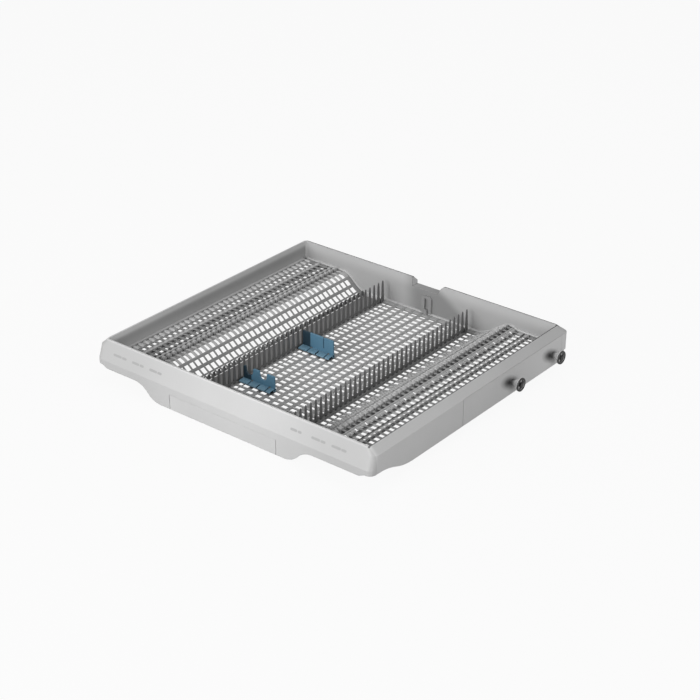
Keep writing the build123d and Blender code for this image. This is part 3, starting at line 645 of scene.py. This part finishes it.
def build_right_insert():
    """Right insert: a ramp of small slats, a toothed crest, and columns of holes out to the wall."""
    box_low, box_high = node_box("right_insert")
    start = box_low[0]
    end = box_high[0]
    light = Shell()
    ramp = Shell()
    middle = Shell()
    dark = Shell()
    strip(middle, start, start + 0.8, depth=PLATE_DEPTH)
    column(middle, start + 0.8, 98.8, 3.2, 4.6)
    strip(middle, 98.8, 100.2)
    column(light, 100.2, 108.2, 4.0, 8.0)
    strip(ramp, 108.2, 125.6, rise=-1.0, depth=2.4)
    column(middle, 125.6, 134.4, 3.4, 10.6, rise=-0.3, depth=0.9)
    strip(ramp, 134.4, 151.8, rise=-1.0, depth=2.4)
    strip(middle, 151.6, 157.8, rise=-1.0, depth=3.0, radius=1.0)
    strip(dark, 157.6, 163.6, rise=-1.6, depth=3.0)
    strip(light, 163.4, 165.4, rise=0.4, swell=0.3)
    column(light, 165.4, 168.8, 7.6, 9.4)
    strip(dark, 169.0, 174.8, rise=-1.6, depth=2.6)
    strip(middle, 174.6, 175.9)
    column(light, 175.9, 183.2, 4.2, 5.0)
    strip(dark, 183.2, 186.9, rise=-1.2, depth=2.2)
    strip(middle, 186.7, 188.0)
    column(light, 188.0, 192.4, 4.6, 7.2)
    strip(middle, 192.4, 193.8, rise=0.2)
    strip(dark, 193.6, 196.8, rise=-1.4, depth=2.4)
    column(middle, 196.6, 208.8, 3.8, 4.6, depth=1.2)
    strip(dark, 208.6, 212.8)
    strip(middle, 212.6, end, rise=-0.2, depth=PLATE_DEPTH)
    for y in ROWS:
        tooth(light, 151.8, 157.2, y, 8.4, 5.6, 3.0)
        leaf(middle, 157.4, 164.0, y, 3.2, 1.0, 0.8, lean=2.6)
        leaf(middle, 168.8, 175.2, y, 3.4, 1.0, 0.8, lean=2.6)
        leaf(middle, 193.4, 196.8, y, 3.4, 1.0, 0.8, lean=1.6)
        leaf(light, 213.4, end - 0.6, y, 6.4, 0.9, 0.8, lean=1.5)
        for step, x in enumerate((108.8, 114.6, 120.4, 135.0, 140.6, 146.2)):
            for side in (-1, 1):
                lean = side * (step % 2 * 2 - 1) * 2.6
                leaf(ramp, x, x + 5.4, y + side * 2.65, 3.0, 0.8, 1.6, lean=lean)
    light.piece("right_insert_ribs", rib_shader, "frame", ["right_insert"])
    ramp.piece("right_insert_ramp", ramp_shader, "frame")
    middle.piece("right_insert_strips", strip_shader, "frame")
    dark.piece("right_insert_grooves", groove_shade_shader, "frame")


def build_middle_insert():
    """Middle insert: ten columns of holes between flat strips, eight of them with a ridge beside them."""
    box_low, box_high = node_box("middle_insert")
    first_centre = -55.3
    pitch = 16.1
    columns = [(-70.8, -62.4, 3.4)]
    for index in range(9):
        centre = first_centre + pitch * index
        bar = {7: 4.6, 8: 6.8}.get(index, 3.4)
        columns.append((centre - 6.0, centre + 4.4, bar))
    ribs = Shell()
    strips = Shell()
    edge = box_low[0]
    for index, (left, right, bar) in enumerate(columns):
        strip(strips, edge, left, rise=0.1, depth=THIN_DEPTH if index else PLATE_DEPTH)
        column(ribs, left, right, bar, bar + 0.6, rise=0.2)
        if 0 < index < len(columns) - 1:
            strip(strips, right + 1.0, right + 4.4, rise=0.7, depth=0.4, radius=1.2)
        edge = right
    strip(strips, edge, edge + 1.4, rise=0.1)
    strip(strips, edge + 1.4, box_high[0], depth=PLATE_DEPTH)
    ribs.piece("middle_insert_ribs", rib_shader, "middle_insert", ["middle_insert"])
    strips.piece("middle_insert_strips", band_shader, "middle_insert")


def build_tine_row(side, x):
    """Slim bar with a neck at each bearing, and a row of flat tapered tines with rounded tips."""
    axis_z = 13.8
    bar_half = 1.2
    bar_end = 209.2
    neck = 201.4
    neck_half = 2.3
    neck_radius = 1.3
    neck_overlap = 0.4
    tine_stations = (
        (10.9, 2.4, 1.6),
        (15.5, 2.7, 1.6),
        (18.0, 2.65, 1.45),
        (22.0, 2.55, 1.3),
        (28.0, 2.4, 1.15),
        (36.0, 2.1, 1.0),
        (42.0, 1.65, 0.85),
        (44.2, 1.25, 0.75),
        (45.1, 0.85, 0.5),
        (45.5, 0.2, 0.15),
    )
    shell = Shell()
    section = soft_section(
        x - bar_half, x + bar_half, lambda v: axis_z + bar_half, lambda v: axis_z - bar_half, 0.5
    )
    bars = (
        (-bar_end, -neck - neck_half),
        (neck_half - neck, neck - neck_half),
        (neck + neck_half, bar_end),
    )
    for low, high in bars:
        shell.loft([[(v, y, z) for v, z in section] for y in (low, high)])
    for place in (-neck, neck):
        ring = [spot((x, axis_z), neck_radius, 2 * pi * index / 16) for index in range(16)]
        ends = (place - neck_half - neck_overlap, place + neck_half + neck_overlap)
        shell.loft([[(v, y, z) for v, z in ring] for y in ends])
    for y in ROWS:
        rings = []
        for z, half_y, half_x in tine_stations:
            rings.append([(x + u, y + v, z) for u, v in flat_ring(half_x, half_y)])
        shell.loft(rings)
    shell.piece(f"{side}_tines", tine_shader, f"{side}_tine_row", [f"{side}_tine_row"])


def build_rest(end, y, top, dips):
    """Blue rest: plate with rounded edges, dips or a slit in its top, and a finger foot."""
    box_low, box_high = node_box(f"{end}_rest")
    left = box_low[0]
    right = box_high[0]
    axis_z = 14.0
    half = 1.35
    barrel_radius = 2.6
    journal_radius = 1.3
    journal_half = 2.0
    dip_radius = 6.7
    dip_drop = 5.3
    dip_mouth = 7.1
    dip_rim = 8.3
    ears = (right - 8.9, right - 41.1)
    pocket = 1.6
    pocket_depth = 3.1
    shell = Shell()

    def slab(x0, x1, heights):
        """Upright slab between two places with its top along a list of (x, z), cut out at the ears."""
        outline = heights + [(x1, axis_z)]
        for ear in ears:
            if x0 < ear < x1:
                outline += [(ear + pocket, axis_z), (ear + pocket, axis_z + pocket_depth)]
                outline += [(ear - pocket, axis_z + pocket_depth), (ear - pocket, axis_z)]
        front = [(x, y - half, z) for x, z in outline + [(x0, axis_z)]]
        shell.loft([front, [(x, y + half, z) for x, _, z in front]])

    def barrel(x0, x1, radius):
        """Round bar along the hinge axis."""
        shell.loft([[(x, *spot((y, axis_z), radius, 2 * pi * i / 16)) for i in range(16)] for x in (x0, x1)])

    if dips:
        outline = [(left, top - 1.4), (left + 0.5, top - 0.4), (left + 1.5, top)]
        for centre in sorted(dips):
            outline += [(centre - dip_rim, top), (centre - dip_mouth, top - 0.5)]
            for index in range(11):
                outline.append(spot((centre, top - dip_drop), dip_radius, pi + pi * index / 10))
            outline += [(centre + dip_mouth, top - 0.5), (centre + dip_rim, top)]
        outline += [(right - 1.5, top), (right - 0.5, top - 0.4), (right, top - 1.4)]
        slab(left, right, outline)
    else:
        slit = -29.1
        slit_half = 0.75
        slit_floor = top - 17.5
        for x0, x1 in ((left, slit - slit_half), (slit + slit_half, right)):
            outline = [(x0, top - 1.0), (x0 + 0.3, top - 0.3), (x0 + 1.0, top)]
            outline += [(x1 - 1.0, top), (x1 - 0.3, top - 0.3), (x1, top - 1.0)]
            slab(x0, x1, outline)
        slab(slit - 1.2, slit + 1.2, [(slit - 1.2, slit_floor), (slit + 1.2, slit_floor)])
    edges = [left, ears[1] - pocket, ears[1] + pocket, ears[0] - pocket, ears[0] + pocket, right]
    for x0, x1 in zip(edges[::2], edges[1::2]):
        barrel(x0, x1, barrel_radius)
    for ear in ears:
        barrel(ear - journal_half, ear + journal_half, journal_radius)
    shell.piece(f"{end}_rest_plate", blue_shader, f"{end}_rest", [f"{end}_rest"], bevel=0.35)
    narrow_finger = 7.9
    wide_finger = 14.1
    finger_gap = 2.0
    root_step = 0.6
    root_end = -3.2
    fingers = Shell()
    section = [(0.0, 2.4), (-6.0, 2.1), (-10.2, 1.5), (-11.4, 0.9), (-12.0, -0.1), (-11.8, -0.9)]
    section += [(-11.2, -1.3), (0.0, -1.3)]
    finger_right = right
    for index in range(4):
        finger_left = left if index == 3 else finger_right - (wide_finger if index else narrow_finger)
        root_left = finger_left + (root_step if index in (0, 2) else 0.0)
        root_right = finger_right - (root_step if index in (1, 3) else 0.0)
        fingers.loft([[(x, y + v, axis_z + w) for v, w in section] for x in (root_left, root_right)])
        tip = [(min(v, root_end), w - 0.02) for v, w in section]
        fingers.loft([[(x, y + v, axis_z + w) for v, w in tip] for x in (finger_left, finger_right)])
        finger_right = finger_left - finger_gap
    fingers.piece(f"{end}_rest_fingers", finger_shader, f"{end}_rest", bevel=0.35)


def ledge_section(wall, inward, height):
    """Section of a bead with the step under it: from the wall, inward, at a bead height."""
    return [
        (wall, height - 6.0),
        (wall, height + 0.5),
        (wall + inward * 1.2, height + 0.5),
        (wall + inward * 2.2, height + 0.25),
        (wall + inward * 2.8, height - 0.3),
        (wall + inward * 3.0, height - 1.0),
        (wall + inward * 3.0, height - 3.4),
        (wall + inward * 8.0, height - 3.4),
        (wall + inward * 8.0, height - 6.0),
    ]


def build_ledges():
    """Smooth bead and step along the four walls."""
    steps = 150
    for end, name in ((-1, "front_ledge"), (1, "rear_ledge")):
        low, high = node_box(name)
        wall = low[1] if end < 0 else high[1]
        rings = []
        for index in range(steps + 1):
            x = low[0] + (high[0] - low[0]) * index / steps
            rings.append([(x, y, z) for y, z in ledge_section(wall, -end, level(x))])
        shell = Shell()
        shell.loft(rings)
        shell.piece(f"{name}_bead", end_ledge_shader, "frame", [name])
    for side, name in ((-1, "left_ledge"), (1, "right_ledge")):
        low, high = node_box(name)
        wall = low[0] if side < 0 else high[0]
        section = ledge_section(wall, -side, SHELF_LEVEL)
        shell = Shell()
        shell.loft([[(x, y, z) for x, z in section] for y in (low[1], high[1])])
        shell.piece(f"{name}_bead", ledge_shader, "frame", [name])


def build_axles():
    """Trumpet-shaped stubs with a square shank and a dark cap, two on each side."""
    steps = 12
    shank = 3.5
    low_z = ROLLER_HEIGHT - shank
    high_z = ROLLER_HEIGHT + shank
    shell = Shell()
    caps = Shell()
    for side in (-1, 1):
        for y in ROLLER_PLACES:
            profile = [(248.6, 5.2)]
            for index in range(steps + 1):
                share = index / steps
                profile.append((249.2 + 11.7 * share, 4.2 + 5.2 * share**2.6))
            shell.turn([(side * x, radius) for x, radius in profile], (y, ROLLER_HEIGHT), 48)
            profile = [(260.8, 2.6), (264.9, 2.6), (264.9, 3.6), (265.3, 3.6), (265.5, 3.0)]
            caps.turn([(side * x, radius) for x, radius in profile], (y, ROLLER_HEIGHT), 32)
            ring = [(y - shank, low_z), (y + shank, low_z), (y + shank, high_z), (y - shank, high_z)]
            shell.loft([[(side * x, v, z) for v, z in ring] for x in (238.3, 248.8)])
    shell.piece("roller_axle_stubs", axle_shader, "frame", ["roller_axles"])
    caps.piece("roller_axle_caps", roller_shader, "frame")


def build_roller(name, y, side):
    """Wheel with a rounded tread and a hub, and a paler spider of three spokes let into its face."""
    centre = (y, ROLLER_HEIGHT)
    inner = side * 261.2
    outer = side * 264.6
    wheel = Shell()
    tread = [(inner + side * 1.5, 7.6), (inner + side * 1.5, 10.0), (outer - side * 0.4, 10.0)]
    tread += [(outer, 9.6), (outer, 8.7), (outer - side * 0.5, 8.4), (outer - side * 0.5, 7.6)]
    wheel.hoop(tread, centre, 56)
    hub_face = outer - side * 0.6
    web_face = inner + side * 1.0
    wheel.hoop([(inner, 3.1), (inner, 4.6), (hub_face, 4.6), (hub_face, 3.1)], centre, 32)
    wheel.hoop([(inner, 4.4), (inner, 7.8), (web_face, 7.8), (web_face, 4.4)], centre, 32)
    wheel.piece(f"{name}_wheel", roller_shader, name, [name])
    spider = Shell()
    boss = ((0.8, 4.3), (2.5, 4.3), (2.8, 4.0))
    spider.turn([(inner + side * x, radius) for x, radius in boss], centre, 32)
    rim = ((0.8, 7.3), (2.5, 7.3), (2.8, 7.5), (2.8, 8.1), (2.5, 8.3), (0.8, 8.3))
    spider.hoop([(inner + side * x, radius) for x, radius in rim], centre, 48)
    flange = Shell()
    collar = ((0.0, 7.7), (0.0, 9.5), (0.4, 9.8), (1.6, 9.9), (1.6, 7.7))
    flange.hoop([(inner + side * x, radius) for x, radius in collar], centre, 56)
    flange.piece(f"{name}_flange", axle_shader, name)
    for index in range(3):
        angle = pi / 2 + 2 * pi * index / 3
        out = (cos(angle), sin(angle))
        rings = []
        for radius, half in ((3.4, 1.8), (5.4, 1.5), (7.0, 1.9), (8.0, 2.8)):
            ring = []
            corners = ((0.9, -1), (2.3, -1), (2.7, -0.6), (2.7, 0.6), (2.3, 1), (0.9, 1))
            for x, across in corners:
                v = y + radius * out[0] - across * half * out[1]
                w = ROLLER_HEIGHT + radius * out[1] + across * half * out[0]
                ring.append((inner + side * x, v, w))
            rings.append(ring)
        spider.loft(rings)
    spider.piece(f"{name}_spider", spider_shader, name)


def build_marks():
    """Generic shallow bars on the front band, where the photograph has lettering."""
    rim_y = -RIM_HALF_DEPTH
    slope = FLARE / BAND_DROP
    middle_z = 46.6
    half = 1.6
    sunk = -0.5
    proud = 0.1
    places = (
        (-217.9, -192.3),
        (-181.3, -158.4),
        (-147.4, -123.6),
        (110.6, 129.8),
        (146.3, 170.0),
        (180.0, 204.9),
    )
    shell = Shell()
    for x0, x1 in places:
        length = x1 - x0
        for start, end in ((0.0, 0.62), (0.66, 1.0)):
            first = x0 + length * start
            last = x0 + length * end
            outline = []
            for index in range(7):
                outline.append(spot((last - half, middle_z), half, pi * (index / 6 - 0.5)))
            for index in range(7):
                outline.append(spot((first + half, middle_z), half, pi * (index / 6 + 0.5)))
            rings = []
            for lift in (sunk, proud):
                rings.append([(x, rim_y - (TRAY_HEIGHT - z) * slope - lift, z) for x, z in outline])
            shell.loft(rings)
    shell.piece("front_band_marks", mark_shader, "frame")


build_left_insert()
build_right_insert()
build_middle_insert()
build_tine_row("left", -73.3)
build_tine_row("right", 85.2)
build_rest("front", -117.0, 35.3, (-32.1, -57.5))
build_rest("rear", 12.0, 39.3, ())
build_ledges()
build_axles()
for end_name, roller_y in zip(("front", "rear"), ROLLER_PLACES):
    for side_name, side_sign in (("left", -1), ("right", 1)):
        build_roller(f"{end_name}_{side_name}_roller", roller_y, side_sign)
build_marks()

# Materials of the CAD nodes that stay
CAD_SHADERS = {
    "tray_frame": frame_shader,
    "front_grip_panel": panel_shader,
    "left_runner_cover": cover_shader,
    "right_runner_cover": cover_shader,
    "bridge_rail": rail_shader,
    "front_lift_guide": guide_shader,
    "rear_lift_guide": guide_shader,
    "front_lift_hook": guide_shader,
    "rear_lift_hook": guide_shader,
    "left_row_bearings": tine_shader,
    "right_row_bearings": tine_shader,
    "front_rest_bracket": bracket_shader,
    "rear_rest_bracket": bracket_shader,
}
for node, shader in CAD_SHADERS.items():
    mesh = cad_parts[node].data
    mesh.materials.clear()
    mesh.materials.append(shader.material)


# Floor, light and camera

WORLD_LIGHT = 0.30
FLOOR_GREY = 0.55
FLOOR_GLOW = 0.93
AIM = (0, 0, 0.03)


def build_floor():
    """Matt white floor that shows nearly plain white to the camera."""
    mesh = bpy.data.meshes.new("floor")
    size = 6.0
    corners = [(-size, -size, 0), (size, -size, 0), (size, size, 0), (-size, size, 0)]
    mesh.from_pydata(corners, [], [(0, 1, 2, 3)])
    floor = bpy.data.objects.new("floor", mesh)
    bpy.context.collection.objects.link(floor)
    material = bpy.data.materials.new("floor_paper")
    material.use_nodes = True
    nodes = material.node_tree.nodes
    links = material.node_tree.links
    surface = nodes["Principled BSDF"]
    surface.inputs["Base Color"].default_value = (*grey(FLOOR_GREY), 1)
    surface.inputs["Roughness"].default_value = 0.9
    surface.inputs["Specular IOR Level"].default_value = 0.1
    glow = nodes.new("ShaderNodeEmission")
    glow.inputs["Color"].default_value = (1, 1, 1, 1)
    path = nodes.new("ShaderNodeLightPath")
    amount = nodes.new("ShaderNodeMath")
    amount.operation = "MULTIPLY"
    amount.inputs[1].default_value = FLOOR_GLOW
    links.new(path.outputs["Is Camera Ray"], amount.inputs[0])
    mix = nodes.new("ShaderNodeMixShader")
    links.new(amount.outputs["Value"], mix.inputs["Fac"])
    links.new(surface.outputs["BSDF"], mix.inputs[1])
    links.new(glow.outputs["Emission"], mix.inputs[2])
    links.new(mix.outputs["Shader"], nodes["Material Output"].inputs["Surface"])
    mesh.materials.append(material)


def build_world():
    """Soft even light, and plain white for the camera."""
    world = bpy.data.worlds.new("studio")
    bpy.context.scene.world = world
    world.use_nodes = True
    nodes = world.node_tree.nodes
    links = world.node_tree.links
    background = nodes["Background"]
    background.inputs["Color"].default_value = (1, 1, 1, 1)
    background.inputs["Strength"].default_value = WORLD_LIGHT
    shown = nodes.new("ShaderNodeBackground")
    shown.inputs["Color"].default_value = (1, 1, 1, 1)
    path = nodes.new("ShaderNodeLightPath")
    mix = nodes.new("ShaderNodeMixShader")
    links.new(path.outputs["Is Camera Ray"], mix.inputs["Fac"])
    links.new(background.outputs["Background"], mix.inputs[1])
    links.new(shown.outputs["Background"], mix.inputs[2])
    links.new(mix.outputs["Shader"], nodes["World Output"].inputs["Surface"])


def add_lamp(name, place, target, width, height, power):
    """Soft lamp at a place, turned to a target."""
    light = bpy.data.lights.new(name, "AREA")
    light.shape = "RECTANGLE"
    light.size = width
    light.size_y = height
    light.energy = power
    lamp = bpy.data.objects.new(name, light)
    bpy.context.collection.objects.link(lamp)
    lamp.location = place
    lamp.rotation_euler = (Vector(target) - Vector(place)).to_track_quat("-Z", "Y").to_euler()


def build_camera():
    """Camera at the place from which the photograph was taken."""
    data = bpy.data.cameras.new("camera")
    data.sensor_width = 36.0
    data.lens = 88.56
    camera = bpy.data.objects.new("camera", data)
    bpy.context.collection.objects.link(camera)
    camera.location = (1.3900, -1.6868, 1.1833)
    camera.rotation_euler = (radians(62.251), 0, radians(38.902))
    bpy.context.scene.camera = camera


build_floor()
build_world()
add_lamp("front", (-0.5, -2.35, 0.9), AIM, 2.2, 1.2, 48)
add_lamp("right", (2.2, -0.5, 0.9), AIM, 1.6, 1.0, 16)
add_lamp("top", (0.0, 0.6, 2.4), AIM, 1.6, 1.6, 13)
build_camera()
bpy.context.scene.view_settings.view_transform = "Standard"
